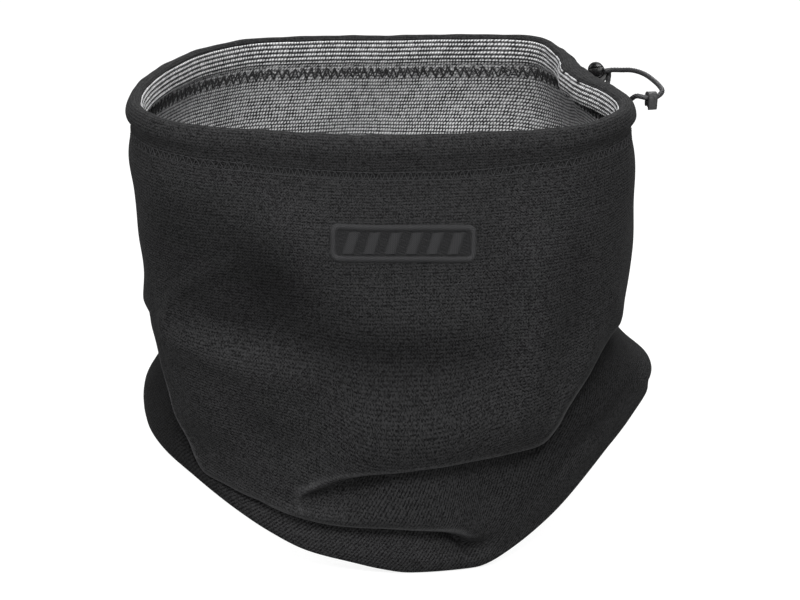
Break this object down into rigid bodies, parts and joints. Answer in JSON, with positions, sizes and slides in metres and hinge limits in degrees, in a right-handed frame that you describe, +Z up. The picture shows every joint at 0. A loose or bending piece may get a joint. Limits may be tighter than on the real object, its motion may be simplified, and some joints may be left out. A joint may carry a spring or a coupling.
{
  "type": "neck gaiter",
  "caption": "Slouched tube scarf for neck and face: black knit shell, grey knit lining, stitched drawcord hem with cord lock, cord-end clip and embroidered badge.",
  "frame": {"origin": "centre of the object's footprint on the resting plane, cord loop included", "axes": "+Z up through the neck opening, -Y towards the wearer's front (badge side), +X towards the side with the cord lock"},
  "size_m": [0.2058, 0.1654, 0.1706],
  "materials": {
    "shell_knit": "fine black knit, matt",
    "lining_knit": "grey and white heather knit, matt",
    "thread": "charcoal sewing thread",
    "elastic_cord": "braided charcoal elastic",
    "black_plastic": "moulded, semi-gloss",
    "spring_steel": "bare wire",
    "embroidery": "grey satin-stitch thread"
  },
  "bodies": {
    "gaiter": {"outer_shell": "shell_knit", "inner_lining": "lining_knit", "channel_stitch_outer": "thread", "channel_stitch_inner": "thread", "drawcord": "elastic_cord", "cord_end_clip": "black_plastic", "embroidered_badge": "embroidery"},
    "cord_lock": {"cord_lock_barrel": "black_plastic", "cord_lock_spring": "spring_steel"},
    "lock_button": {"cord_lock_button": "black_plastic"}
  },
  "joints": [
    {"name": "cord_lock_slide", "type": "slide", "parent": "gaiter", "child": "cord_lock", "axis": [0.9795, -0.132, 0.1523], "range_m": [0, 0.008], "deforming": ["drawcord"]},
    {"name": "lock_button_press", "type": "slide", "parent": "cord_lock", "child": "lock_button", "axis": [0.1841, 0.8929, -0.4108], "range_m": [0, 0.0014], "stiffness_N_per_m": 400, "springref_m": -0.001, "deforming": ["cord_lock_spring"]}
  ]
}
